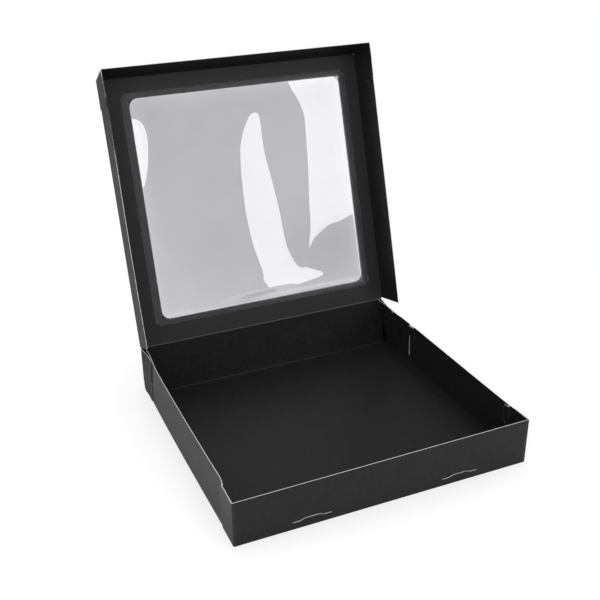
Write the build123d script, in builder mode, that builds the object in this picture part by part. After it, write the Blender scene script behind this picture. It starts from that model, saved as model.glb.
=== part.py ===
from build123d import *
import math
import os

# A shallow tray and its lid, die-cut from one sheet of black card, folded up
# and held by hooked corner flaps. The lid stands open. A clear film is glued
# inside the lid, over a large rounded window.
#
# +X runs to the right along the front wall, +Y to the back, +Z up.
# The origin is the middle of the tray's underside, on the ground.

# Sheet
card = 0.45               # thickness of the card
ply_gap = 0.10            # air between two plies of card that lie together
fold_radius = 0.40        # outside of a creased fold

# Tray
box_width = 249.0         # over the corner flaps
tray_depth = 240.0        # front wall's outside to the lid's fold
wall_height = 40.5
back_lean = 16.0          # the back panel's foot stands this far in front of its top
back_taper = 5.0          # the back panel is narrower at its foot, each side

# Corner locks of the tray. A flap lies outside the side wall, crosses it in
# a slit and ends in a tongue inside.
cross_height = 20.0       # below this the flap is slit, above it the wall is
tongue_foot = 6.5         # lower edge of the long rear tongue
tongue_drop = 2.0         # tongues end this far below the wall's top
front_flap = 24.0         # front wall's outside to the front slit
front_tongue = 5.0        # what passes the front slit
rear_flap = 28.0          # lid's fold to the rear slit
rear_tongue = 32.0        # what passes the rear slit
hook_reach = 9.0          # finger at the end of the rear tongue
hook_height = 7.0
notch_length = 7.0        # dip in the wall's top beside that finger
notch_depth = 1.2
slit_clearance = 0.25     # either side of the card in a slit

# Curved slits in the front wall
slit_from_middle = 63.0
slit_length = 31.0
slit_height = 6.5         # above the ground, at the slit's flat ends
slit_rise = 1.5           # of its arched middle
slit_flat = 5.0           # straight end
slit_ramp = 5.5           # from the straight end to the arch
slit_width = 0.50

# Lid
open_angle = 17.3         # the lid leans back from upright
lid_seat = 0.25           # the closed lid lies this far above the walls
lid_side_clearance = 0.35 # each side, lid fold to tray
lid_front_clearance = 0.75
fold_clearance = 0.50     # the fold's axis to the lid's edge
rim_depth = 33.0
rim_start = 2.0           # the side rims begin this far from the fold
side_flare = 1.5          # the rims lean outwards, in degrees
front_flare = 10.0
lid_flap = 26.0           # front fold to the slit in the lid's side rims
lid_tongue = 5.0
lid_cross_depth = 17.0    # beyond this depth the side rim is slit

# Window and film
window_margin_side = 22.7 # mean of the left and right borders
window_shift = 2.6        # the window sits a little right of the middle
window_margin_fold = 22.0
window_margin_front = 19.0
window_radius = 8.0
film_overlap_side = 7.5   # film glued to the card around the window
film_overlap_end = 5.2
film_chamfer = 4.5
film = 0.15

os.makedirs("parts", exist_ok=True)

# Places that the pieces share
half_width = box_width / 2
front_y = -tray_depth / 2
fold_y = tray_depth / 2
fold_z = wall_height + lid_seat + card / 2
foot_y = fold_y - back_lean
flap_in = half_width - card
wall_out = flap_in - ply_gap
wall_in = wall_out - card
tongue_out = wall_in - ply_gap
tongue_in = tongue_out - card
tongue_top = wall_height - tongue_drop
front_slit_y = front_y + front_flap
rear_slit_y = fold_y - rear_flap
rear_tongue_y = rear_slit_y - rear_tongue


def slit_outline(slit_y):
    """Sketch of one wall slit, open at the wall's top, round the card that crosses there."""
    gap = card + 2 * slit_clearance
    with Locations((slit_y, cross_height)):
        Rectangle(gap, wall_height, align=(Align.CENTER, Align.MIN))


with BuildPart() as tray:
    # The floor and both side walls are one folded trough.
    with BuildSketch(Plane.XZ.offset(-front_y - card - ply_gap)) as trough:
        Rectangle(2 * wall_out, wall_height, align=(Align.CENTER, Align.MIN))
        fillet(trough.vertices().group_by(Axis.Y)[0], radius=fold_radius)
        with Locations((0, card)):
            Rectangle(2 * wall_in, wall_height, align=(Align.CENTER, Align.MIN), mode=Mode.SUBTRACT)
    extrude(amount=-(tray_depth - card - ply_gap))

    # The side walls end in a slant, just in front of the leaning back panel.
    end_gap = card / 2 + ply_gap
    with BuildSketch(Plane.YZ):
        Polygon(
            (foot_y - end_gap, card),
            (fold_y - end_gap, fold_z),
            (fold_y + back_lean, fold_z),
            (fold_y + back_lean, -card),
            (foot_y, -card),
            (foot_y, card),
            align=None,
        )
    extrude(amount=box_width, both=True, mode=Mode.SUBTRACT)

    # Slits that the flaps cross, and the dip beside each rear hook.
    with BuildSketch(Plane.YZ):
        slit_outline(front_slit_y)
        slit_outline(rear_slit_y)
        with Locations((rear_tongue_y - notch_length / 2, wall_height)):
            Rectangle(notch_length, 2 * notch_depth)
    extrude(amount=box_width, both=True, mode=Mode.SUBTRACT)

    # The front wall turns both corners and ends in the front flaps.
    with BuildSketch(Plane.XY) as front_band:
        with Locations((0, front_y)):
            Rectangle(box_width, front_flap, align=(Align.CENTER, Align.MIN))
        fillet(front_band.vertices().group_by(Axis.Y)[0], radius=fold_radius)
        with Locations((0, front_y + card)):
            Rectangle(2 * flap_in, front_flap, align=(Align.CENTER, Align.MIN), mode=Mode.SUBTRACT)
    extrude(amount=wall_height)
    with Locations((0, front_y + card / 2, 0)):
        Box(2 * wall_out, card + 2 * ply_gap, card, align=(Align.CENTER, Align.MIN, Align.MIN))
    fillet(tray.edges().filter_by(Axis.X).sort_by(Axis.Y)[0:2].sort_by(Axis.Z)[0], radius=fold_radius)

    # Two curved slits, low in the front wall.
    arch = slit_length / 2 - slit_flat - slit_ramp
    for side in (-1, 1):
        slit_x = side * slit_from_middle
        with BuildSketch(Plane.XZ.offset(-front_y - 2 * card)):
            with BuildLine():
                FilletPolyline(
                    (slit_x - slit_length / 2, slit_height),
                    (slit_x - arch - slit_ramp, slit_height),
                    (slit_x - arch, slit_height + slit_rise),
                    (slit_x + arch, slit_height + slit_rise),
                    (slit_x + arch + slit_ramp, slit_height),
                    (slit_x + slit_length / 2, slit_height),
                    radius=slit_flat / 2,
                )
            trace(line_width=slit_width)
        extrude(amount=4 * card, mode=Mode.SUBTRACT)

    # The back panel leans from the floor's rear crease up to the lid's fold.
    rise = fold_z - card / 2
    slope = math.atan2(back_lean, rise)
    panel_length = math.hypot(back_lean, rise)
    foot = Vector(0, foot_y, card / 2)
    back_plane = Plane(foot, x_dir=(1, 0, 0), z_dir=(0, -math.cos(slope), math.sin(slope)))
    foot_half = flap_in - back_taper
    with BuildSketch(back_plane):
        Polygon(
            (-foot_half, 0),
            (foot_half, 0),
            (flap_in, panel_length),
            (-flap_in, panel_length),
            align=None,
        )
    extrude(amount=card / 2, both=True)
    for crease_y, crease_z, crease_half in ((foot_y, card / 2, foot_half), (fold_y, fold_z, flap_in)):
        with BuildSketch(Plane.YZ.offset(-crease_half)):
            with Locations((crease_y, crease_z)):
                Circle(card / 2)
        extrude(amount=2 * crease_half)

    for side in (-1, 1):
        # A rear flap hangs from the corner, outside the side wall.
        with BuildSketch(Plane.YZ.offset(side * (half_width - card / 2))):
            with Locations((rear_slit_y, 0)):
                Rectangle(rear_flap, wall_height, align=(Align.MIN, Align.MIN))
        extrude(amount=card / 2, both=True)

        # A three-cornered gusset joins the flap to the back panel's end.
        top = Vector(side * (half_width - card / 2), fold_y - card / 2, wall_height - card / 2)
        heel = Vector(side * (half_width - card / 2), fold_y - card / 2, card / 2)
        toe = Vector(side * foot_half, foot_y, card / 2)
        gusset_plane = Plane(heel, x_dir=toe - heel, z_dir=(toe - heel).cross(top - heel))
        peak = gusset_plane.to_local_coords(top)
        with BuildSketch(gusset_plane):
            Polygon((0, 0), ((toe - heel).length, 0), (peak.X, peak.Y), align=None)
        extrude(amount=card / 2, both=True)

        # Each flap crosses the wall in its slit.
        bridge_x = side * (half_width + tongue_in) / 2
        for slit_y in (front_slit_y, rear_slit_y):
            with Locations((bridge_x, slit_y, cross_height + slit_clearance)):
                Box(
                    half_width - tongue_in,
                    card,
                    tongue_top - cross_height - slit_clearance,
                    align=(Align.CENTER, Align.CENTER, Align.MIN),
                )

        # Tongues inside: a short one at the front, a long hooked one at the rear.
        hook_foot = tongue_top - hook_height
        with BuildSketch(Plane.YZ.offset(side * (tongue_in + card / 2))):
            Polygon(
                (front_slit_y - card / 2, tongue_top),
                (front_slit_y + front_tongue, tongue_top),
                (front_slit_y + front_tongue, cross_height + front_tongue),
                (front_slit_y - card / 2, cross_height + slit_clearance),
                align=None,
            )
            Polygon(
                (rear_slit_y + card / 2, tongue_top),
                (rear_tongue_y - hook_reach, tongue_top),
                (rear_tongue_y - hook_reach, hook_foot),
                (rear_tongue_y, hook_foot),
                (rear_tongue_y, tongue_foot),
                (rear_slit_y - slit_clearance, tongue_foot),
                (rear_slit_y - slit_clearance, cross_height + slit_clearance),
                (rear_slit_y + card / 2, cross_height + slit_clearance),
                align=None,
            )
        extrude(amount=card / 2, both=True)
tray.part.label = "tray"

# The lid lies in a plane through the fold: x to the right, y away from the
# fold, z to the lid's inside.
lean = math.radians(open_angle)
away = Vector(0, math.sin(lean), math.cos(lean))
inward = Vector(0, -math.cos(lean), math.sin(lean))
across = Vector(1, 0, 0)
lid_plane = Plane((0, fold_y, fold_z), x_dir=across, z_dir=inward)
lid_half = half_width + lid_side_clearance + card
lid_length = tray_depth + lid_front_clearance + card
window_width = 2 * (lid_half - window_margin_side)
window_length = lid_length - window_margin_fold - window_margin_front
window_y = window_margin_fold + window_length / 2


def lid_point(x, y, z):
    """A point given in the lid's own plane."""
    return lid_plane.from_local_coords(Vector(x, y, z))


with BuildPart() as lid:
    with BuildSketch(lid_plane.offset(-card / 2)) as panel:
        with Locations((0, fold_clearance)):
            Rectangle(2 * lid_half, lid_length - fold_clearance, align=(Align.CENTER, Align.MIN))
        with Locations((window_shift, window_y)):
            RectangleRounded(window_width, window_length, window_radius, mode=Mode.SUBTRACT)
    extrude(amount=card)

    # The front rim flares outwards. It is as wide as the two flaps outside
    # the side rims, which flare too.
    side_slope = math.radians(side_flare)
    front_slope = math.radians(front_flare)
    flap_mid = lid_half + ply_gap + card / 2
    spread = rim_depth * math.tan(side_slope)
    rim_down = inward * math.cos(front_slope) + away * math.sin(front_slope)
    front_origin = lid_point(0, lid_length - card / 2, 0)
    with BuildSketch(Plane(front_origin, x_dir=across, z_dir=across.cross(rim_down))):
        Polygon(
            (-flap_mid - card / 2, -card / 2),
            (flap_mid + card / 2, -card / 2),
            (flap_mid + card / 2 + spread, rim_depth),
            (-flap_mid - card / 2 - spread, rim_depth),
            align=None,
        )
    extrude(amount=card / 2, both=True)

    for side in (-1, 1):
        down = inward * math.cos(side_slope) + across * (side * math.sin(side_slope))
        normal = away.cross(down)
        outward = normal * (1 if normal.X * side > 0 else -1)
        rim_origin = lid_point(side * (lid_half - card / 2), 0, 0)
        rim_plane = Plane(rim_origin, x_dir=away, z_dir=normal)
        slit_at = lid_length - lid_flap
        slit_gap = card + 2 * slit_clearance

        # Side rim, slit from its free edge for the flap.
        with BuildSketch(rim_plane):
            Polygon(
                (rim_start, -card / 2),
                (lid_length - card - ply_gap, -card / 2),
                (lid_length - card - ply_gap, rim_depth),
                (rim_start, rim_depth),
                align=None,
            )
            with Locations((slit_at, lid_cross_depth)):
                Rectangle(slit_gap, rim_depth, align=(Align.CENTER, Align.MIN), mode=Mode.SUBTRACT)
        extrude(amount=card / 2, both=True)

        # Flap outside the rim, cut back so that it follows the flared front rim.
        flare_run = rim_depth * math.tan(front_slope)
        flap_plane = Plane(rim_origin + outward * (card + ply_gap), x_dir=away, z_dir=normal)
        with BuildSketch(flap_plane):
            Polygon(
                (lid_length - card / 2, 0),
                (lid_length - card / 2 + flare_run, rim_depth),
                (slit_at, rim_depth),
                (slit_at, 0),
                align=None,
            )
        extrude(amount=card / 2, both=True)

        # The flap's bridge through the slit, and its tongue inside the rim.
        bridge_plane = Plane(rim_origin - outward * (1.5 * card + ply_gap), x_dir=away, z_dir=outward)
        deep = lid_cross_depth + slit_clearance
        sign = 1 if bridge_plane.y_dir.dot(down) > 0 else -1
        with BuildSketch(bridge_plane):
            Polygon(
                (slit_at - card / 2, sign * deep),
                (slit_at + card / 2, sign * deep),
                (slit_at + card / 2, sign * rim_depth),
                (slit_at - card / 2, sign * rim_depth),
                align=None,
            )
        extrude(amount=3 * card + 2 * ply_gap)
        with BuildSketch(bridge_plane):
            Polygon(
                (slit_at + card / 2, sign * deep),
                (slit_at - lid_tongue, sign * (deep + lid_tongue)),
                (slit_at - lid_tongue, sign * rim_depth),
                (slit_at + card / 2, sign * rim_depth),
                align=None,
            )
        extrude(amount=card)
lid.part.label = "lid"

with BuildPart() as window_film:
    with BuildSketch(lid_plane.offset(card / 2)) as sheet:
        with Locations((window_shift, window_y)):
            Rectangle(window_width + 2 * film_overlap_side, window_length + 2 * film_overlap_end)
        chamfer(sheet.vertices(), length=film_chamfer)
    extrude(amount=film)
window_film.part.label = "window_film"

export_step(tray.part, "parts/tray.step")
export_step(lid.part, "parts/lid.step")
export_step(window_film.part, "parts/window_film.step")
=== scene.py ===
import math

import bmesh
import bpy
import numpy as np
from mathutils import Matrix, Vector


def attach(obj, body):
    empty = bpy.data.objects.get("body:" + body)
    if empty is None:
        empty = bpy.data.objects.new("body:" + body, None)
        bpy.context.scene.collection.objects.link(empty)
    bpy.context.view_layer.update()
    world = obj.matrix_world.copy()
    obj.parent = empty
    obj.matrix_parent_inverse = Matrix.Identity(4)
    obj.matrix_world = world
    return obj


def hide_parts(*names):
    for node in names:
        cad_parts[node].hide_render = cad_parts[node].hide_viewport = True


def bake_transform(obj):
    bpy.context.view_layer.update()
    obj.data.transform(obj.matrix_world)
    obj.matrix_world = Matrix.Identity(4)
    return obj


# A shallow sushi box of black card with a hinged lid. The lid stands open and
# has a clear film behind its window. Sizes are in millimetres until a mesh is
# made. +X runs right along the front wall, +Y to the back, +Z up.
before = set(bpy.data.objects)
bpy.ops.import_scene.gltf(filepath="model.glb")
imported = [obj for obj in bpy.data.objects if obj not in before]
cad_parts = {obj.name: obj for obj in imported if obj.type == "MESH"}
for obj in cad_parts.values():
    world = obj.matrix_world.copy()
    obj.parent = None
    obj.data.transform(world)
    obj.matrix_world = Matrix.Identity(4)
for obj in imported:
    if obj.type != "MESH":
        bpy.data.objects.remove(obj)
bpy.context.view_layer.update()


# The black card. Board with a pale pulp core, inked black on both faces and die-cut, so every cut
# edge shows a thin pale line and every crease a dull one, which is partly a painted highlight.
card = 0.45
ply = 0.55                # from the middle of one sheet to the middle of the next
fringe = 0.10             # how far the pale core shows past a cut edge

paper_grain = bpy.data.node_groups.new("paper_grain", "ShaderNodeTree")
for label, kind, way in (
    ("Vector", "NodeSocketVector", "INPUT"),
    ("Fibre", "NodeSocketFloat", "OUTPUT"),
    ("Mottle", "NodeSocketFloat", "OUTPUT"),
    ("Cloud", "NodeSocketFloat", "OUTPUT"),
):
    paper_grain.interface.new_socket(label, in_out=way, socket_type=kind)
grain_in = paper_grain.nodes.new("NodeGroupInput")
grain_out = paper_grain.nodes.new("NodeGroupOutput")
for label, scale, detail, stretch in (
    ("Fibre", 1500.0, 5.0, (1.0, 0.4, 0.7)),
    ("Mottle", 260.0, 4.0, (1.0, 0.8, 0.9)),
    ("Cloud", 22.0, 3.0, (1.0, 1.0, 1.0)),
):
    turn = paper_grain.nodes.new("ShaderNodeMapping")
    turn.inputs["Scale"].default_value = stretch
    turn.inputs["Rotation"].default_value = (0.3, 0.2, 0.5)
    noise = paper_grain.nodes.new("ShaderNodeTexNoise")
    noise.inputs["Scale"].default_value = scale
    noise.inputs["Detail"].default_value = detail
    noise.inputs["Roughness"].default_value = 0.6
    paper_grain.links.new(grain_in.outputs["Vector"], turn.inputs["Vector"])
    paper_grain.links.new(turn.outputs["Vector"], noise.inputs["Vector"])
    paper_grain.links.new(noise.outputs["Fac"], grain_out.inputs[label])


def place_grain(nodes, links):
    """Adds the paper grain on Object coordinates and gives its outputs."""
    where = nodes.new("ShaderNodeTexCoord")
    group = nodes.new("ShaderNodeGroup")
    group.node_tree = paper_grain
    links.new(where.outputs["Object"], group.inputs["Vector"])
    return group.outputs


def mesh_value(nodes, name):
    """Adds an Attribute node and gives the value that the mesh holds by this name."""
    node = nodes.new("ShaderNodeAttribute")
    node.attribute_name = name
    return node.outputs["Fac"]


def arithmetic(nodes, links, operation, *terms):
    """Adds a Math node. Each of its terms is a number or a socket."""
    node = nodes.new("ShaderNodeMath")
    node.operation = operation
    for socket, term in zip(node.inputs, terms):
        if isinstance(term, float):
            socket.default_value = term
        else:
            links.new(term, socket)
    return node.outputs[0]


def map_range(nodes, links, value, low, high, to_low, to_high):
    """Adds a Map Range node: value from low..high to to_low..to_high, clamped."""
    node = nodes.new("ShaderNodeMapRange")
    sockets = ("From Min", "From Max", "To Min", "To Max")
    for socket, number in zip(sockets, (low, high, to_low, to_high)):
        node.inputs[socket].default_value = number
    links.new(value, node.inputs["Value"])
    return node.outputs["Result"]


def blend_colour(nodes, links, mask, first, second):
    """Adds a Mix node between two colours, each a tuple or a socket."""
    node = nodes.new("ShaderNodeMix")
    node.data_type = "RGBA"
    links.new(mask, node.inputs["Factor"])
    for socket, colour in (("A", first), ("B", second)):
        place = [s for s in node.inputs if s.name == socket and s.type == "RGBA"][0]
        if isinstance(colour, tuple):
            place.default_value = (*colour, 1.0)
        else:
            links.new(colour, place)
    return [s for s in node.outputs if s.type == "RGBA"][0]


ink_deep, ink_full = (0.0125, 0.0125, 0.013), (0.0175, 0.0175, 0.018)
ink_painted_lighter, ink_crease_pale = (0.034, 0.034, 0.035), (0.15, 0.15, 0.15)
pulp_dull, pulp_bright = (0.86, 0.86, 0.855), (0.98, 0.98, 0.98)
gloss_unshaded, gloss_shaded = 0.26, 0.08

black_card = bpy.data.materials.new("black_card")
black_card.use_nodes = True
nodes, links = black_card.node_tree.nodes, black_card.node_tree.links
card_shader = nodes["Principled BSDF"]
grain = place_grain(nodes, links)
# ink: nearly black, a little uneven
uneven = map_range(nodes, links, grain["Mottle"], 0.35, 0.65, 0.0, 1.0)
ink = blend_colour(nodes, links, uneven, ink_deep, ink_full)
# painted light: the lid's inner face takes a lighter ink than the rest of the card, and it is
# rougher
inner_face = mesh_value(nodes, "inner_face")
ink = blend_colour(nodes, links, inner_face, ink, ink_painted_lighter)
# crease: the ink is stretched and lets a little pulp through; the pale line is partly a painted
# highlight along the folds
patchy = map_range(nodes, links, grain["Fibre"], 0.35, 0.6, 0.55, 1.0)
crease_pale = arithmetic(nodes, links, "MULTIPLY", mesh_value(nodes, "crease_line"), patchy)
creased = blend_colour(nodes, links, crease_pale, ink, ink_crease_pale)
# cut edge: bare pulp with ragged fibres
torn = map_range(nodes, links, grain["Fibre"], 0.3, 0.7, -0.35, 0.35)
ragged = arithmetic(nodes, links, "MULTIPLY_ADD", torn, 0.8, mesh_value(nodes, "cut_edge"))
bare = map_range(nodes, links, ragged, 0.45, 0.75, 0.0, 1.0)
pulp = blend_colour(nodes, links, grain["Fibre"], pulp_dull, pulp_bright)
links.new(blend_colour(nodes, links, bare, creased, pulp), card_shader.inputs["Base Color"])
# roughness: it varies with the fibres, bare pulp is matt, thin ink is duller
cloudy = map_range(nodes, links, grain["Cloud"], 0.3, 0.7, 0.34, 0.40)
rough = arithmetic(nodes, links, "MULTIPLY_ADD", grain["Fibre"], 0.12, cloudy)
matt = map_range(nodes, links, bare, 0.0, 1.0, 0.0, 0.9)
matt = arithmetic(nodes, links, "MAXIMUM", rough, matt)
dull = arithmetic(nodes, links, "MULTIPLY_ADD", inner_face, 0.16, matt)
links.new(dull, card_shader.inputs["Roughness"])
# painted shade: faces in this mask are given less gloss so that they render darker
card_shader.inputs["Specular IOR Level"].default_value = gloss_unshaded
painted_shade_dull = mesh_value(nodes, "painted_shade_dull")
links.new(map_range(nodes, links, painted_shade_dull, 0.0, 1.0, gloss_unshaded, gloss_shaded),
          card_shader.inputs["Specular IOR Level"])
# relief: shallow fibres on a shallower mottle
bump = nodes.new("ShaderNodeBump")
bump.inputs["Strength"].default_value = 0.35
bump.inputs["Distance"].default_value = 0.00003
relief = arithmetic(nodes, links, "MULTIPLY_ADD", grain["Mottle"], 0.6, grain["Fibre"])
links.new(relief, bump.inputs["Height"])
links.new(bump.outputs["Normal"], card_shader.inputs["Normal"])


# The tray's trough. One panel of card whose two long sides are folded up from
# the floor; the sides lean in a little and are slit for the corner flaps.
box_width, tray_depth, wall_height = 249.0, 240.0, 40.5
front_y, fold_y = -tray_depth / 2, tray_depth / 2
fold_z = 40.975           # height of the lid's fold
foot_y = 104.0            # the leaning back wall's crease in the floor
fold_round = 0.35
front_flap, rear_flap_length = 24.0, 28.0   # from a corner to the slit
front_slit, rear_slit = front_y + front_flap, fold_y - rear_flap_length
slit_gap = 0.75
cross_height = 20.0       # the walls are slit from here up, the flaps from here down
tongue_tip = rear_slit - 32.0
dip_length, dip_depth = 7.0, 0.6    # in the right wall's top, beside the rear hook
tail, tail_length = rear_slit + 2, 10.0     # where a side wall's slanted end begins
bulge_length, bulge_middle, bulge_end = 215.0, 0.75, 0.42   # of the left wall
front_sag = 2.4           # the left wall's front end is pulled down this far
wall_middle = box_width / 2 - card / 2 - ply
# how far each wall's outer face leans in at its top, by distance from the front
lean_at = np.array([0, 16, 23.7, 25, 33, 50, 75, 169, 194, 203, 210, 221, 235, 242]) + front_y
lean_left = np.array([0.6, 0.7, 0.9, 1.9, 2.0, 1.9, 1.9, 2.2, 2.4, 2.7, 3.2, 4.2, 4.2, 3.8]) - ply
lean_right = np.array([0.7, 0.9, 1.6, 1.6, 1.7, 1.7, 1.8, 1.6, 2.0, 2.6, 2.8, 3.0, 3.4, 3.2]) - ply


def smooth(t):
    """Eased from 0 at t = 0 to 1 at t = 1."""
    t = np.clip(t, 0, 1)
    return t * t * (3 - 2 * t)


def stations(step, *stops):
    """Sorted places through all the stops, gaps filled evenly at no more than the step."""
    stops = np.unique(np.round(stops, 4))
    runs = [
        np.linspace(a, b, int(np.ceil((b - a) / step)) + 1)[:-1]
        for a, b in zip(stops, stops[1:])
    ]
    return np.concatenate(runs + [stops[-1:]])


def edges(*cuts):
    """Each cut with a line beside it on both sides, where the pale fringe ends."""
    return [c + d for c in cuts for d in (-fringe, 0.0, fringe)]


def round_corner(s, radius):
    """A right-angled bend followed at distance s from its middle, as the distances
    from the sharp corner along the first arm and along the second arm."""
    reach = radius * math.pi / 4
    turn = np.clip((s + reach) / radius, 0, math.pi / 2)
    first = np.where(s < -reach, radius - s - reach, radius - radius * np.sin(turn))
    second = np.where(s > reach, s - reach + radius, radius - radius * np.cos(turn))
    return first, second


def fold_stations(radius):
    """Lines round a bend, five to its quarter turn."""
    return list(np.linspace(-radius * math.pi / 4, radius * math.pi / 4, 5))


def panel(u, v, place, keep=None, cut=(), creases=None):
    """A sheet as place(u, v) on a grid. Cells where keep is false are cut out, cut
    names the grid's own sides that are cut edges, creases(u, v) is 1 on a crease."""
    U, V = np.meshgrid(u, v, indexing="ij")
    points = np.stack(np.broadcast_arrays(*place(U, V)), -1)
    middle_u, middle_v = np.meshgrid((u[1:] + u[:-1]) / 2, (v[1:] + v[:-1]) / 2, indexing="ij")
    kept = np.ones(middle_u.shape, bool) if keep is None else keep(middle_u, middle_v)
    # one more row of cells all round: there is card beyond a side that isn't cut
    padded = np.zeros((len(u) + 1, len(v) + 1), bool)
    padded[1:-1, 1:-1] = kept
    for side, beyond, within in (
        ("u0", np.s_[0, 1:-1], np.s_[1, 1:-1]),
        ("u1", np.s_[-1, 1:-1], np.s_[-2, 1:-1]),
        ("v0", np.s_[1:-1, 0], np.s_[1:-1, 1]),
        ("v1", np.s_[1:-1, -1], np.s_[1:-1, -2]),
    ):
        if side not in cut:
            padded[beyond] = padded[within]
    padded[0, [0, -1]] = padded[1, [0, -1]] | padded[0, [1, -2]]
    padded[-1, [0, -1]] = padded[-2, [0, -1]] | padded[-1, [1, -2]]
    # a point with card in all four cells round it isn't on a cut edge
    full = padded[1:, 1:] & padded[:-1, 1:] & padded[1:, :-1] & padded[:-1, :-1]
    pale = (~full).astype(float)
    crease = np.zeros(U.shape) if creases is None else np.broadcast_to(creases(U, V), U.shape)
    return points, kept, pale, crease


def card_object(name, panels, body, node, thickness=card, material=black_card,
                inner=None, face_mask="inner_face"):
    """Panels welded where they meet, given the card's thickness half to each side, as
    one object that stands for the node and moves with the body. The face mask is 1
    on the side that looks along inner."""
    verts, faces, pale, crease, start = [], [], [], [], 0
    for points, kept, cut_mask, crease_mask in panels:
        index = np.arange(points.shape[0] * points.shape[1]).reshape(points.shape[:2]) + start
        cells = np.stack([index[:-1, :-1], index[1:, :-1], index[1:, 1:], index[:-1, 1:]], -1)
        faces.append(cells[kept])
        verts.append(points.reshape(-1, 3))
        pale.append(cut_mask.ravel())
        crease.append(crease_mask.ravel())
        start += index.size
    sheet = bpy.data.meshes.new(name)
    places = (np.concatenate(verts) * 0.001).tolist()
    sheet.from_pydata(places, [], np.concatenate(faces).tolist())
    for label, values in (("cut_edge", pale), ("crease_line", crease)):
        layer = sheet.attributes.new(label, "FLOAT", "POINT")
        layer.data.foreach_set("value", np.concatenate(values).astype(np.float32))
    welded = bmesh.new()
    welded.from_mesh(sheet)
    bmesh.ops.remove_doubles(welded, verts=welded.verts, dist=2e-6)
    loose = [vert for vert in welded.verts if not vert.link_faces]
    bmesh.ops.delete(welded, geom=loose, context="VERTS")
    bmesh.ops.recalc_face_normals(welded, faces=welded.faces)
    welded.to_mesh(sheet)
    welded.free()
    piece = bpy.data.objects.new(name, sheet)
    bpy.context.scene.collection.objects.link(piece)
    solid = piece.modifiers.new("thickness", "SOLIDIFY")
    solid.thickness = thickness * 0.001
    solid.offset = 0.0
    bpy.context.view_layer.update()
    finished = piece.evaluated_get(bpy.context.evaluated_depsgraph_get())
    shell = bpy.data.meshes.new_from_object(finished)
    piece.modifiers.clear()
    piece.data = shell
    shell.name = name
    shell.polygons.foreach_set("use_smooth", np.ones(len(shell.polygons), bool))
    shell.set_sharp_from_angle(angle=math.radians(38))
    if inner is not None:
        normals = np.empty(len(shell.vertices) * 3, np.float32)
        shell.vertices.foreach_get("normal", normals)
        facing = (normals.reshape(-1, 3) @ np.array(inner) > 0).astype(np.float32)
        shell.attributes.new(face_mask, "FLOAT", "POINT").data.foreach_set("value", facing)
    shell.materials.clear()
    shell.materials.append(material)
    if body:
        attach(piece, body)
    if node:
        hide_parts(node)
    return piece


def spread(side, y):
    """The left wall bulges out towards the back, where the card has sprung: half a
    sine wave along the wall, and a little more that stays on to its rear end."""
    along = np.clip((y - front_slit) / bulge_length, 0, 1)
    wave = bulge_middle * np.sin(math.pi * along)
    return (side < 0) * (bulge_end * smooth(along * 1.25) + wave)


def wall_lean(side, y, z):
    """How far the side wall stands in from upright at y and height z: its lean at
    the top, times the share of the height to the power of 1.25."""
    top = np.interp(y, lean_at, lean_left if side < 0 else lean_right)
    return top * np.clip(z / wall_height, 0, 1.1) ** 1.25


def trough(side):
    """Half the floor and one wall, bent at s = 0, with v along the box."""
    def place(s, v):
        first, second = round_corner(s, fold_round)
        z = second + card / 2
        # the wall ends in a slant, just in front of the back wall
        end = foot_y - 0.02 + (second / fold_z) * (fold_y - foot_y)
        y = np.where(v > tail, tail + (v - tail) * (end - tail) / tail_length, v)
        x = side * (wall_middle - first - wall_lean(side, y, second))
        x = x * (1 + spread(side, y) / wall_middle)
        # the left wall's front end is pulled down behind the corner flap
        before = smooth((front_slit + 0.3 - v) / 0.6)
        sunk = front_sag * (side < 0) * before * np.clip(z / wall_height, 0, 1) ** 2
        return x, y, z - sunk

    def keep(s, v):
        slit = (abs(v - front_slit) < slit_gap / 2) | (abs(v - rear_slit) < slit_gap / 2)
        slit &= s > cross_height - card / 2
        dip = (v > tongue_tip - dip_length) & (v < tongue_tip) & (side > 0)
        dip &= s > wall_height - dip_depth - card / 2
        return ~(slit | dip)

    bend = fold_round * math.pi / 4 - fold_round
    middle, top = -(wall_middle + bend), wall_height - card / 2 + bend
    across = stations(
        6, middle, -100, -20, -6, -3, *fold_stations(fold_round), 3,
        *edges(cross_height - card / 2), top - dip_depth, top - fringe, top,
    )
    along = stations(
        5, front_y + 0.65, *edges(front_slit - slit_gap / 2, front_slit + slit_gap / 2),
        *edges(tongue_tip - dip_length, tongue_tip),
        *edges(rear_slit - slit_gap / 2, rear_slit + slit_gap / 2),
        tail, rear_slit + 11.5, rear_slit + 11.8, tail + tail_length,
    )
    # the pale crease line is painted on the left wall's fold only, partly as a painted highlight
    return panel(across, along, place, keep, cut=("u1",),
                 creases=lambda s, v: 0.12 * np.exp(-(s / 0.3) ** 2) * (side < 0))


card_object("tray_floor_and_sides", [trough(-1), trough(1)], "tray", "tray")


# The tray's front wall. It is folded up from the floor, turns both corners and
# each end hooks through the side wall. Two arched slits are cut low in it.
corner_round = 0.4
corner_x, corner_y = box_width / 2 - card / 2, front_y + card / 2
slit_middle, slit_half = 63.0, 15.5       # from the wall's middle, half the length
slit_low, slit_rise, slit_flat, slit_ramp = 6.5, 1.5, 5.0, 5.5
slit_row, slit_open = 7.0, 0.12           # the slit's row on the sheet, half its width
flap_top = wall_height - 2.0              # the flap's far part and its tongue are lower
flap_dip, cross_front, tongue_front, tongue_end = 17.0, 23.5, 24.6, 29.0   # from the corner
corner_drop, lip_depth = 1.6, 0.32        # top left corner hangs, card over a slit stands in
arch_fade = 14.0                          # rows bend back to straight beside a slit


def front_slit_curve(x):
    """Height of the arched slit: flat ends, two ramps and a flat top."""
    beside = abs(abs(x) - slit_middle)
    return slit_low + slit_rise * smooth((slit_half - slit_flat - beside) / slit_ramp)


def flap_lean(back, z):
    """How far the front corner flap leans in, from nothing at the corner and foot."""
    share = np.clip(back / front_flap, 0, 1.3) * np.clip(z / wall_height, 0, 1)
    return 0.9 * share ** 1.3


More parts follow.
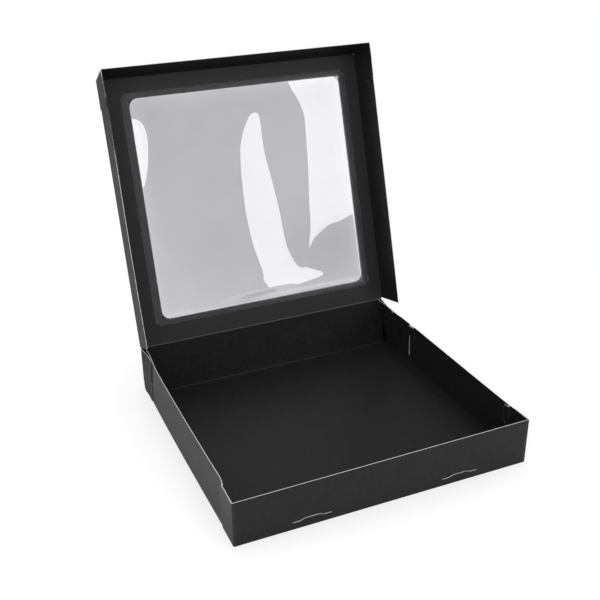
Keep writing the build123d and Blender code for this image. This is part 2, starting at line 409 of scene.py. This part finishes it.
def front_half(side):
    """Half the wall and its corner flap, bent at s = 0, at height h on the sheet."""
    def place(s, h):
        front, back = round_corner(s, corner_round)
        # rows near the slit follow its arch
        beside = abs(corner_x - front - slit_middle)
        near = smooth((slit_half + arch_fade - beside) / arch_fade) * (front > corner_round)
        eased = np.where(h < slit_row, smooth((h - 0.5) / 6.5), smooth((20 - h) / 13))
        arch = (front_slit_curve(corner_x - front) - slit_row) * eased
        left_share = 0.5 - side * (corner_x - front) / (2 * corner_x)
        hang = corner_drop * left_share * (np.clip(h - 12, 0, 30) / 28.5) ** 2
        z = h + near * arch - hang
        # the flap lies outside the wall and its tongue inside
        into = smooth(back - cross_front)
        lean = wall_lean(side, corner_y + back, z) * into + flap_lean(back, z) * (1 - into)
        x = side * (corner_x - front - lean - 2 * ply * into)
        # the tongue's lower edge rises towards its end
        rise = np.clip(back - tongue_front, 0, None) * 0.9
        rise = rise * np.clip((flap_top - z) / 18, 0, 1)
        # the card above the slit is pushed in a little
        lip = smooth((h - slit_row) / slit_open) * smooth((12 - h) / 5)
        lip = lip_depth * near * lip * smooth((slit_half + 0.5 - beside) / 3)
        return x, corner_y + back + lip, z + rise

    def keep(s, h):
        front, back = round_corner(s, corner_round)
        slit = (abs(corner_x - front - slit_middle) < slit_half) & (front > 1)
        slit &= abs(h - slit_row) < slit_open
        below = (back > cross_front) & (h < cross_height + 0.25)
        dip = (back > flap_dip) & (h > flap_top)
        return ~(slit | below | dip)

    # round the corner the sheet is shorter than the two arms
    short = corner_round * math.pi / 4 - corner_round
    slit_a, slit_b = (-(corner_x - slit_middle + k * slit_half) - short for k in (1, -1))
    along = stations(
        4, -(corner_x + short), slit_a - 3, *edges(slit_a, slit_b),
        *stations(1.2, slit_a, slit_b), *fold_stations(corner_round), 1.5,
        *edges(flap_dip + short, cross_front + short), 24 + short, 24.5 + short, 25 + short,
        tongue_end + short - fringe, tongue_end + short,
    )
    up = stations(
        3.5, 0.5, 0.8, 3.5, 6.0, 6.75, slit_row - slit_open, slit_row + slit_open, 7.3, 8.5, 12,
        *edges(cross_height + 0.25), cross_height + 0.55, 25,
        *edges(flap_top), wall_height - fringe, wall_height,
    )
    points, kept, pale, crease = panel(along, up, place, keep, cut=("u1", "v1"),
                                       creases=lambda s, h: 0.22 * np.exp(-(s / 0.35) ** 2))
    pale[along > tongue_front + short] *= 0.8
    lower_edge = (up > cross_height + 0.25) & (up < cross_height + 0.5)
    pale[np.ix_(along > 24.2 + short, lower_edge)] = 0.8
    return points, kept, pale, crease


def front_fold(t, x):
    """The crease that turns the floor up into the front wall."""
    under, up = round_corner(t, fold_round)
    return x, corner_y + under, np.where(t > 0.3, 0.5, card / 2 + up)


card_object(
    "tray_front_wall",
    [
        front_half(-1),
        front_half(1),
        panel(np.array([-2.0, *fold_stations(fold_round), 0.5]),
              stations(6, -corner_x + corner_round, corner_x - corner_round), front_fold,
              creases=lambda t, x: 0.25 * np.exp(-(t / 0.3) ** 2)),
    ],
    "tray", None,
)


# The tray's back wall. It leans back from the floor's rear crease to the lid's
# fold; a three-cornered gusset at each end joins it to the flap outside the side.
foot_half = 119.05        # half the width of the wall's foot
back_top_y, back_top_z = fold_y - 0.25, fold_z - 0.6
heel_x, heel_y = box_width / 2 - card / 2, fold_y - card / 2
cross_rear, tongue_rear, hook_start, hook_end = 27.4, 28.5, 60.0, 69.0
tongue_low, tongue_cross, hook_low, tongue_top = 6.5, 20.25, 28.5, 38.5
heel_lift = 2.0           # the left flap's corner is off the floor


def back_wall(a, v):
    """A trapezium from the floor crease to the lid's fold, bowed by half a millimetre
    along its normal (0.93, -0.37)."""
    bow = 0.5 * np.sin(math.pi * v) * (1 - a * a)
    x = a * (foot_half + (heel_x - 0.1 - foot_half) * v + spread(np.sign(a), fold_y) * v)
    y = foot_y + (back_top_y - foot_y) * v + bow * 0.93
    return x, y, card / 2 + (back_top_z - card / 2) * v - bow * 0.37


def rear_flap_lean(d, z):
    """How far the rear corner flap leans in at distance d from its corner: its top
    comes in by 2.6 mm, its foot stands out a little behind the crossing."""
    top = np.interp(d, [0, 4, 10, 18, 28], [0.05, 0.6, 1.7, 2.4, 2.7])
    swell = 0.8 * np.exp(-((d - 8.0) / 6.0) ** 2) * (1 - smooth(z / 11.0))
    return top * np.clip(z / wall_height, 0, 1) ** 1.5 - swell * smooth(d / 3.0)


flap_heights = stations(
    3, 0.3, 0.3 + fringe, 0.8, 1.3, wall_height - 0.7,
    *edges(tongue_low, tongue_cross, hook_low, tongue_top), wall_height - fringe, wall_height,
)
flap_share = (flap_heights - flap_heights[0]) / (flap_heights[-1] - flap_heights[0])


def flap_foot(side, d, z):
    """Height z on the flap, raised towards its corner: the left foot is off the floor."""
    return z + (side < 0) * heel_lift * np.clip(1 - d / 25, 0, 1) * (1 - z / wall_height)


def gusset(side):
    """Straight lines from the back wall's end, b = 0, to the flap's corner, b = 1."""
    def place(b, v):
        panel_x, panel_y, panel_z = back_wall(side * np.ones_like(v), v)
        corner_z = flap_foot(side, 0.0, 0.3 + (wall_height - 0.3) * v)
        tip = smooth((v - 0.97) / 0.03)
        x = (1 - b) * panel_x + b * side * (heel_x + spread(side, heel_y))
        y = (1 - b) * panel_y + b * heel_y
        z = (1 - b) * (panel_z * (1 - tip) + tip * (wall_height - 0.1)) + b * corner_z
        return x, y, z

    return panel(np.linspace(0, 1, 6), flap_share, place,
                 creases=lambda b, v: 0.3 * np.exp(-((b - 1) / 0.06) ** 2))


def rear_flap(side):
    """From its corner, d = 0, outside the wall, through the slit and inside again."""
    def place(d, z):
        into = smooth(d - cross_rear)
        outside = heel_x + spread(side, heel_y - d)
        own, wall = rear_flap_lean(d, z), wall_lean(side, heel_y - d, z)
        x = side * (outside - own * (1 - into) - (wall + 2 * ply) * into)
        return x, heel_y - d, flap_foot(side, d, z)

    def keep(d, z):
        flap = d < cross_rear
        under_top = z < tongue_top
        crossing = (d > cross_rear) & (d < tongue_rear) & (z > tongue_cross) & under_top
        tongue = (d > tongue_rear) & (d < hook_start) & (z > tongue_low) & under_top
        hook = (d > hook_start) & (z > hook_low) & under_top
        return flap | crossing | tongue | hook

    lines = stations(3, 0, 1, *edges(cross_rear, tongue_rear, hook_start), 27.9,
                     hook_end - fringe, hook_end)
    points, kept, pale, crease = panel(lines, flap_heights, place, keep, cut=("u1", "v0", "v1"),
                                       creases=lambda d, z: 0.3 * np.exp(-(d / 0.4) ** 2))
    # the pale cut edges inside the tray are dimmed, most on the tongue
    for begin, end, share in ((27.0, 28.6, 0.5), (28.6, 59.5, 0.3), (60.3, 70.0, 0.45)):
        pale[(lines > begin) & (lines < end)] *= share
    return points, kept, pale, crease


def corner_shade_web(side):
    """A small triangle of dark card between the gusset's foot and the side wall, a sheet put in as
    painted shade where the floor in the corner's deep well would show white.
    """
    def place(a, b):
        y = foot_y - 0.3 + (heel_y - 0.6 - foot_y) * b
        outer = heel_x + spread(side, y) - rear_flap_lean(heel_y - y, 0.0) - 0.25
        x = (foot_half + (outer - foot_half) * a) * (1 - b) + outer * b
        return side * x, y, card / 2 + 0 * a

    return panel(np.linspace(0, 1, 4), np.linspace(0, 1, 9), place)


def foot_crease(a, v):
    """A dull line along the back wall's foot, fainter towards the right."""
    return 0.75 * np.exp(-(v / 0.013) ** 2) * (0.75 - 0.25 * a)


# painted shade: the faces that look into the tray lose gloss and render darker
card_object(
    "tray_back_wall",
    [
        panel(stations(6 / 120, -1, 1), flap_share, back_wall, creases=foot_crease),
        gusset(-1), gusset(1), rear_flap(-1), rear_flap(1), corner_shade_web(-1), corner_shade_web(1),
    ],
    "tray", None, inner=(0, -0.9, 0.4), face_mask="painted_shade_dull",
)


# The lid's panel. It is folded from the back wall's top edge and has a large
# window with rounded corners cut out of it.
open_angle = math.radians(17.3)
lid_half, lid_length, rim_depth = 125.3, 241.2, 33.0
lid_fold = 0.4            # outside of the creases round the panel
window_x, window_half = 2.6, 102.6
window_low, window_high, window_round = 22.0, 222.2, 8.0
panel_edge = lid_half - card / 2 - lid_fold
panel_low, panel_high = 0.6, lid_length - card / 2 - lid_fold


def lid_place(x, u, w):
    """A point in the lid's own frame: x right, u away from the fold, w to its inside."""
    sine, cosine = math.sin(open_angle), math.cos(open_angle)
    return x, fold_y + u * sine - w * cosine, fold_z + u * cosine + w * sine


def lid_bow(x, u):
    """The panel is not quite flat: it dishes by a few tenths of a millimetre."""
    dish = 0.35 * np.sin(math.pi * u / lid_length) * np.cos(math.pi * x / 251)
    return dish + 0.12 * np.sin(u / 31.0) * np.sin(x / 40.0 + 1)


def window_outline(q):
    """The rounded window's outline for q from 0 to 8: straight sides while q is in an
    even interval, quarter circles in an odd one, starting at the lower left."""
    side, t = np.floor(q).astype(int) % 8, q % 1.0
    half_x, half_u = window_half, (window_high - window_low) / 2
    rx, ru = half_x - window_round, half_u - window_round
    angle = (side - 1) / 2 * math.pi / 2 + t * math.pi / 2 - math.pi / 2
    corners, sides = [side == 1, side == 3, side == 5], [side == k for k in (0, 2, 4, 6)]
    arc_x = np.select(corners, [1, 1, -1], -1) * rx + window_round * np.cos(angle)
    arc_u = np.select(corners, [-1, 1, 1], -1) * ru + window_round * np.sin(angle)
    x = np.select(sides, [-rx + 2 * rx * t, half_x, rx - 2 * rx * t, -half_x], arc_x)
    u = np.select(sides, [-half_u, -ru + 2 * ru * t, half_u, ru - 2 * ru * t], arc_u)
    return x + window_x, u + (window_high + window_low) / 2


def border_outline(q):
    """The panel's square outline, matched to the window's outline at the same q. While
    the window turns a corner, this goes out to the square's corner and on."""
    side, t = np.floor(q).astype(int) % 8, q % 1.0
    inset = 24.0
    half_u = (panel_high - panel_low) / 2
    hx, hu = panel_edge - inset, half_u - inset
    go, come = np.clip(2 * t, 0, 1) * inset, np.clip(2 * t - 1, 0, 1) * inset
    level = 0 * t
    x = np.choose(side, [
        -hx + 2 * hx * t, hx + go, panel_edge + level, panel_edge - come,
        hx - 2 * hx * t, -hx - go, -panel_edge + level, -panel_edge + come,
    ])
    u = np.choose(side, [
        -half_u + level, -half_u + come, -hu + 2 * hu * t, hu + go,
        half_u + level, half_u - come, hu - 2 * hu * t, -hu - go,
    ])
    return x, u + (panel_low + panel_high) / 2


def lid_panel(q, t):
    """Rings from the window's outline out to the panel's four creases."""
    inner_x, inner_u = window_outline(q)
    outer_x, outer_u = border_outline(q)
    x = inner_x + (outer_x - inner_x) * t
    u = inner_u + (outer_u - inner_u) * t
    return lid_place(x, u, lid_bow(x, u) * smooth((u - panel_low) / 20))


# 40 cells to each straight side of the window and 12 to each corner
outline_steps = [k + np.linspace(0, 1, 13 if k % 2 else 41)[:-1] for k in range(8)]
rings = np.array([0, 0.011, 0.05, 0.12, 0.22, 0.35, 0.5, 0.65, 0.8, 0.92, 1.0])
# painted light: the panel's inner face takes the lighter ink
card_object(
    "lid_panel",
    [panel(np.concatenate(outline_steps + [[8.0]]), rings, lid_panel, cut=("v0",))],
    "lid", "lid", inner=(0, -math.cos(open_angle), math.sin(open_angle)),
)


# The lid's side rims. Each is folded towards the tray, flares out a little and
# is slit near the front for the corner flap.
lid_flap = 26.0           # from the lid's front to the slit
lid_slit, lid_cross = lid_length - lid_flap, 17.0


def rim_stand(side, u, w):
    """How far a side rim stands out: more at its middle on the left, where the card
    has sprung, and most at the front, where the corner flap pulls it."""
    bow = (0.75 if side < 0 else 0.3) * np.sin(math.pi * np.clip(u / lid_slit, 0, 1))
    edge = 0.55 + bow + 0.3 * smooth((u - lid_slit) / lid_flap)
    return edge * np.clip(w / rim_depth, 0, 1.1) ** 1.1


def side_rim(side):
    """From the panel's crease at s = 0 down to the free edge, with v along the lid."""
    def place(s, v):
        first, w = round_corner(s, lid_fold)
        # the rear end is cut at a slant, the other way on each side
        start = 1.2 + 4.2 * w / rim_depth if side < 0 else 1.0 - 2.0 * w / rim_depth
        u = v + (start - 1.0) * smooth((30 - v) / 29)
        x = side * (lid_half - card / 2 - first + rim_stand(side, u, w))
        bow = lid_bow(x, u) * smooth((u - panel_low) / 20)
        return lid_place(x, u, w + bow * (1 - w / rim_depth))

    def keep(s, v):
        return ~((abs(v - lid_slit) < slit_gap / 2) & (s > lid_cross))

    deep = stations(4, *fold_stations(lid_fold), 1.5, *edges(lid_cross),
                    rim_depth - fringe, rim_depth)
    along = stations(5, 1.0, 1.0 + fringe, 30,
                     *edges(lid_slit - slit_gap / 2, lid_slit + slit_gap / 2), lid_length - 0.7)
    points, kept, pale, crease = panel(deep, along, place, keep, cut=("u1", "v0"),
                                       creases=lambda s, v: 0.2 * np.exp(-(s / 0.35) ** 2))
    pale *= 0.75 - 0.35 * smooth((along - 150) / 60)
    return points, kept, pale, crease


# painted shade: the left rim's outer face loses gloss and renders darker
card_object("lid_left_rim", [side_rim(-1)], "lid", None, inner=(-1, 0, 0), face_mask="painted_shade_dull")
card_object("lid_right_rim", [side_rim(1)], "lid", None)


# The lid's front rim. It is folded like the sides, flares by ten degrees, and
# its two corner flaps lie outside the side rims and hook through them.
front_flare = math.tan(math.radians(10))
flap_x = lid_half + 0.1 + card / 2
lid_front_u = lid_length - card / 2
front_depth = rim_depth * math.cos(math.radians(10))
front_round = 0.6
lid_cross_start, lid_tongue_end = 25.4, 31.3


def lid_front_half(side):
    """Half the front rim and its corner flap, bent at s = 0, at depth w."""
    def place(s, w):
        front, back = round_corner(s, front_round)
        u = lid_front_u - back + front_flare * w * (1 - np.clip(back / lid_flap, 0, 1))
        into = smooth((back - lid_cross_start) / 1.1)
        stand = rim_stand(side, u, w) * (1 - np.clip(front / flap_x, 0, 1))
        return lid_place(side * (flap_x - front + stand - 2 * ply * into), u, w)

    def keep(s, w):
        front, back = round_corner(s, front_round)
        return ~((back > lid_cross_start) & (w < lid_cross + 0.25))

    # round the corner the sheet is shorter than the two arms
    short = front_round * math.pi / 4 - front_round
    along = stations(
        4, -(flap_x + short), *fold_stations(front_round), 1.5,
        *edges(lid_cross_start + short), 26 + short, 26.5 + short,
        lid_tongue_end + short - fringe, lid_tongue_end + short,
    )
    deep = stations(4, lid_fold, lid_fold + fringe, *edges(lid_cross + 0.25),
                    front_depth - fringe, front_depth)
    points, kept, pale, crease = panel(along, deep, place, keep, cut=("u1", "v1"),
                                       creases=lambda s, w: 0.2 * np.exp(-(s / 0.5) ** 2))
    pale[along > 1.5] *= 0.55
    pale[along > 20] *= 0.55
    return points, kept, pale, crease


def lid_front_fold(t, x):
    """The crease that turns the lid's panel down into the front rim."""
    first, w = round_corner(t, lid_fold)
    w = np.where(t > 0.31, lid_fold, w)
    return lid_place(x, lid_front_u - first + front_flare * w, w)


# painted shade: the front rim's downward faces lose gloss and render darker
card_object(
    "lid_front_rim",
    [
        lid_front_half(-1),
        lid_front_half(1),
        panel(np.array(fold_stations(lid_fold)),
              stations(6, -lid_half + lid_fold, lid_half - lid_fold), lid_front_fold,
              creases=lambda t, x: 0.2 * np.exp(-(t / 0.35) ** 2)),
    ],
    "lid", None, inner=(0, -0.3, -0.95), face_mask="painted_shade_dull",
)


# The lid's hinge is only a crease in the card, pressed thin by the creasing rule. A narrow
# strip of card bridges it, straight up the back wall and on along the lid.
strip_lines = np.array([-0.75, -0.5, -0.3, -0.15, 0, 0.15, 0.3, 0.5, 0.75])


def hinge_strip(t, x):
    """Straight up the back wall, through the fold's axis and on along the lid."""
    lower, upper = np.clip(-t, 0, None), np.clip(t, 0, None)
    slope = math.atan2(back_top_y - foot_y, back_top_z)
    y = fold_y - lower * math.sin(slope) + upper * math.sin(open_angle)
    z = fold_z - lower * math.cos(slope) + upper * math.cos(open_angle)
    return x * (1 + spread(np.sign(x), fold_y) / heel_x), y, z


hinge = card_object(
    "lid_crease",
    [panel(strip_lines, stations(6, -heel_x + 0.1, heel_x - 0.1), hinge_strip,
           creases=lambda t, x: np.exp(-(t / 0.4) ** 2))],
    None, None,
)
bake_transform(hinge)


# The window film. Thin clear plastic glued round the window's edge on the
# inside; it is slack, so it stands in long shallow waves.
film = 0.12
film_half_x, film_low, film_high, film_chamfer = 110.1, 16.8, 227.4, 4.5
film_level = card / 2 + film / 2 + 0.02
clear_tint, pale_film_tint = (0.40, 0.40, 0.43), (0.80, 0.80, 0.83)
free_index, glued_index = 1.85, 1.52
ripple_slope, ripple_side = 0.013, 4.5    # change of slope in a ripple, over this distance
fade_low, fade_high = 1.6, 8.0            # over which the film comes up from the card

clear_film = bpy.data.materials.new("clear_film")
clear_film.use_nodes = True
nodes, links = clear_film.node_tree.nodes, clear_film.node_tree.links
film_shader = nodes["Principled BSDF"]
film_shader.inputs["Transmission Weight"].default_value = 1.0
film_shader.inputs["IOR"].default_value = glued_index
grain = place_grain(nodes, links)
glued = mesh_value(nodes, "glued")
# tint: paler where the mask is high, partly real haze along the edges and partly painted light,
# and a little cloudy all over
patchy = map_range(nodes, links, grain["Cloud"], 0.3, 0.7, -0.04, 0.04)
cloudy = arithmetic(nodes, links, "ADD", patchy, mesh_value(nodes, "haze_and_painted_light"))
tint = blend_colour(nodes, links, cloudy, clear_tint, pale_film_tint)
links.new(tint, film_shader.inputs["Base Color"])
# gloss: mirror-like where it is free, smeared where the glue wets it
links.new(map_range(nodes, links, glued, 0.0, 0.5, free_index, glued_index),
          film_shader.inputs["IOR"])
streaks = map_range(nodes, links, grain["Mottle"], 0.3, 0.7, 0.55, 0.62)
smear = arithmetic(nodes, links, "MULTIPLY", glued, streaks)
links.new(map_range(nodes, links, smear, 0.0, 1.0, 0.012, 1.0), film_shader.inputs["Roughness"])


def film_inside(x, u):
    """Distance in from the window's edge, negative where the film lies on the card."""
    return np.minimum(window_half - abs(x - window_x), np.minimum(u - window_low, window_high - u))


def film_wave(x, u):
    """Height of the slack film over its flat place. Its slope across, dh/dx, falls
    steeply inside three long ripples: one along the left edge, one from the top of
    the middle down to a foot at the right, and one over the upper right corner. To the
    left of the middle it rises, by as much as brings each row back to zero."""
    # depth inside the nearest ripple, from where its sides stand in each row
    left = np.interp(u, [136, 142, 154, 169, 190, 208, 219, 230],
                     [-112, -98.5, -93.5, -89.8, -87, -88.5, -94, -105]) - x
    middle_left = np.interp(u, [18, 26, 33, 41, 50, 78, 105, 140, 166, 180, 191, 197, 202],
                            [8, 2, 5, 6.5, 3, -4.5, -5.3, -4, -1, 4, 10, 14, 60])
    middle_right = np.interp(u, [18, 26, 29, 35, 41, 46, 65, 119, 163, 190, 200, 208],
                             [-2, 12, 42, 78, 56, 40, 32.7, 26.2, 19.8, 20.5, 22, 10])
    middle = np.minimum(x - middle_left, middle_right - x)
    corner_left = np.interp(u, [48, 60, 84, 140, 190, 206, 222, 230],
                            [50, 51.3, 57.2, 63.8, 67.3, 62, 52, 46])
    corner_low = np.interp(x, [40, 51, 60, 78, 90, 104, 110], [42, 54, 68, 79, 81, 86.5, 88])
    corner = np.minimum(x - corner_left, 0.35 * (u - corner_low))
    depth = np.maximum(np.maximum(left, middle), corner)
    # the slope at a ripple's side changes over the film, and is met on the bowed lid
    step = x[1, 0] - x[0, 0]
    edge = -0.0398 + 0.000741 * x + 0.000098 * (u - 120) - np.gradient(lid_bow(x, u), step, axis=0)
    bend = ripple_slope * np.tanh(depth / ripple_side)
    slope = np.where(abs(x - window_x) < window_half, edge - bend, 0)
    free = smooth((x + 84) / 14) * smooth((-12 - x) / 12)
    slope = slope * (1 - free)
    slope = slope - free * slope.sum(0) / free.sum(0)
    height = np.cumsum(slope, 0) * step
    # neighbouring rows are averaged, and the film comes down to the card at both ends
    reach = 13
    kernel = np.exp(-(np.arange(-reach, reach + 1) / 5.0) ** 2)
    kernel /= kernel.sum()
    rows = np.arange(height.shape[1])
    height = sum(share * height[:, np.clip(rows + k - reach, 0, rows[-1])]
                 for k, share in enumerate(kernel))
    low, high = np.maximum(u - window_low, 0), np.maximum(window_high - u, 0)
    return height * (1 - np.exp(-low / fade_low)) * (1 - np.exp(-high / fade_high))


def film_point(a, b):
    """A rectangle with its four corners cut off; a and b run from 0 to 1."""
    u = film_low + (film_high - film_low) * b
    x = window_x + film_half_x * (2 * a - 1)
    near = np.minimum(u - film_low, film_high - u)
    half = film_half_x - np.clip(film_chamfer - near, 0, film_chamfer)
    w = film_level + lid_bow(x, u) + film_wave(x, u)
    return lid_place(window_x + half * (2 * a - 1), u, w)


def film_haze_and_painted_light(x, u):
    """How pale the film's tint is: clearest in the middle and paler along its edges, where the
    glue leaves a haze. A painted reflection makes it paler towards the lower left; it is a little
    paler right of the middle and least pale at the lower right."""
    across, along = (x - window_x) / window_half, (u - 122) / 100
    middle = 0.06 * np.exp(-((across - 0.35) / 0.3) ** 2 - ((along - 0.3) / 0.6) ** 2)
    low_right = 0.11 * np.exp(-((across - 0.75) / 0.35) ** 2 - ((along + 0.6) / 0.3) ** 2)
    # painted reflection: paler towards the lower left
    low_left = 0.10 * np.exp(-((across + 1) / 0.45) ** 2 - ((along + 0.9) / 0.6) ** 2)
    rim = 0.2 * np.exp(-np.maximum(film_inside(x, u), 0) / 5.0)
    return 0.27 + middle - low_right - 0.03 * smooth(along) + low_left + rim


def film_glue(x, u):
    """1 well out on the card and falling to the window's edge, nothing inside it but
    for a smear along its lower edge."""
    inside = film_inside(x, u)
    on_card = np.clip(0.35 - inside / 8.0, 0, 1) * (inside < 0.3)
    over_window = abs(x - window_x) < window_half
    smeared = 0.5 * np.exp(-(np.clip(u - window_low, 0, 50) / 4.2) ** 2) * over_window
    return np.maximum(on_card, smeared)


chamfer_share = stations(1, 0, film_chamfer) / (film_high - film_low)
film_a = np.linspace(0, 1, 221)
film_b = np.unique(np.concatenate([np.linspace(0, 1, 211), chamfer_share, 1 - chamfer_share]))
A, B = np.meshgrid(film_a, film_b, indexing="ij")
film_x = window_x + film_half_x * (2 * A - 1)
film_u = film_low + (film_high - film_low) * B
points, kept, _, _ = panel(film_a, film_b, film_point)
window_sheet = card_object(
    "window_sheet", [(points, kept, film_glue(film_x, film_u), film_haze_and_painted_light(film_x, film_u))],
    "lid", "window_film", thickness=film, material=clear_film,
)
# the film's masks went in where the card's cut edges and creases go
window_sheet.data.attributes["cut_edge"].name = "glued"
window_sheet.data.attributes["crease_line"].name = "haze_and_painted_light"


# The studio. White paper under the box and a pale room round it. The tall narrow
# lamp at the right stands mirrored in the film's ripples; one low in front, one
# large on the left and one overhead behind the box light the card.
def seen_share(nodes, links, plain, mirrored, seen):
    """A strength for light paths: plain for lighting, mirrored in gloss, seen by the
    camera and through the film."""
    path = nodes.new("ShaderNodeLightPath").outputs
    gloss = map_range(nodes, links, path["Is Glossy Ray"], 0.0, 1.0, plain, mirrored)
    camera_ray, film_ray = path["Is Camera Ray"], path["Is Transmission Ray"]
    direct = arithmetic(nodes, links, "MAXIMUM", camera_ray, film_ray)
    direct = arithmetic(nodes, links, "MULTIPLY", direct, seen)
    return arithmetic(nodes, links, "MAXIMUM", gloss, direct)


world = bpy.data.worlds.new("studio")
bpy.context.scene.world = world
world.use_nodes = True
nodes, links = world.node_tree.nodes, world.node_tree.links
nodes["Background"].inputs["Color"].default_value = (1, 1, 1, 1)
links.new(seen_share(nodes, links, 0.35, 0.30, 1.0), nodes["Background"].inputs["Strength"])

floor_half, floor_z = 4.0, -0.0002      # metres
floor_corners = [(-1, -1), (1, -1), (1, 1), (-1, 1)]
floor_mesh = bpy.data.meshes.new("floor")
floor_mesh.from_pydata([(floor_half * x, floor_half * y, floor_z) for x, y in floor_corners],
                       [], [(0, 1, 2, 3)])
floor = bpy.data.objects.new("floor", floor_mesh)
bpy.context.scene.collection.objects.link(floor)
paper_floor = bpy.data.materials.new("paper_floor")
paper_floor.use_nodes = True
nodes, links = paper_floor.node_tree.nodes, paper_floor.node_tree.links
floor_shader = nodes["Principled BSDF"]
floor_shader.inputs["Base Color"].default_value = (0.95, 0.95, 0.95, 1)
floor_shader.inputs["Roughness"].default_value = 1.0
floor_shader.inputs["Specular IOR Level"].default_value = 0.0
# beside the box its soft shadow shows; farther out the paper is plain white
shadow_near, shadow_far = 0.15, 0.36    # metres from the box's middle
where = nodes.new("ShaderNodeTexCoord")
distance = nodes.new("ShaderNodeVectorMath")
distance.operation = "LENGTH"
links.new(where.outputs["Object"], distance.inputs[0])
away = distance.outputs["Value"]
glow = nodes.new("ShaderNodeEmission")
links.new(map_range(nodes, links, away, shadow_near, shadow_far, 1.34, 1.0),
          glow.inputs["Strength"])
plain_white = map_range(nodes, links, away, shadow_near, shadow_far, 0.5, 1.0)
mixed = nodes.new("ShaderNodeMixShader")
links.new(seen_share(nodes, links, 0.0, 0.15, plain_white), mixed.inputs["Fac"])
links.new(floor_shader.outputs[0], mixed.inputs[1])
links.new(glow.outputs[0], mixed.inputs[2])
links.new(mixed.outputs[0], nodes["Material Output"].inputs["Surface"])
floor_mesh.materials.append(paper_floor)


def soft_lamp(name, azimuth, height, distance, width, tall, radiance):
    """A rectangular lamp aimed at the box, in metres. Azimuth turns from the front to
    the right; radiance is what its face shows, with white as 1."""
    lamp = bpy.data.lights.new(name, "AREA")
    lamp.shape = "RECTANGLE"
    lamp.size, lamp.size_y = width, tall
    lamp.energy = radiance * math.pi * width * tall
    holder = bpy.data.objects.new(name, lamp)
    bpy.context.scene.collection.objects.link(holder)
    turn = math.radians(azimuth)
    holder.location = (distance * math.sin(turn), -distance * math.cos(turn), height)
    aim = Vector((0, 0, 0.1)) - holder.location
    holder.rotation_euler = aim.to_track_quat("-Z", "Y").to_euler()


soft_lamp("lamp_strip", 31.5, height=0.56, distance=2.4, width=0.46, tall=1.3, radiance=3.1)
soft_lamp("lamp_front", -6, height=1.2, distance=1.2, width=1.4, tall=0.6, radiance=1.2)
soft_lamp("lamp_left", -58, height=0.9, distance=2.2, width=1.8, tall=1.4, radiance=1.7)
soft_lamp("lamp_top", 150, height=2.2, distance=0.6, width=1.6, tall=1.6, radiance=1.85)

# The camera stands in front on the left and looks down by 26 degrees. The
# photograph's middle lies 30 of its 600 pixels beside the lens's axis.
frame_pixels, focal_pixels, middle_pixel = 600, 892.9, 270
camera_data = bpy.data.cameras.new("camera")
camera_data.sensor_width = 36.0
camera_data.lens = focal_pixels / frame_pixels * camera_data.sensor_width
camera_data.shift_x = (frame_pixels / 2 - middle_pixel) / frame_pixels
camera = bpy.data.objects.new("camera", camera_data)
bpy.context.scene.collection.objects.link(camera)
camera.location = (-0.2793, -0.5909, 0.4342)
look_down, look_right, roll = np.radians([25.827, 21.70, -1.44])
forward = np.array([
    math.sin(look_right) * math.cos(look_down),
    math.cos(look_right) * math.cos(look_down),
    -math.sin(look_down),
])
level = np.cross(forward, (0, 0, 1))
level /= np.linalg.norm(level)
raised = np.cross(level, forward)
right = level * math.cos(roll) + raised * math.sin(roll)
up = np.cross(right, forward)
camera.rotation_euler = Matrix(np.stack([right, up, -forward], 1).tolist()).to_euler()
bpy.context.scene.camera = camera
bpy.context.scene.view_settings.view_transform = "Standard"
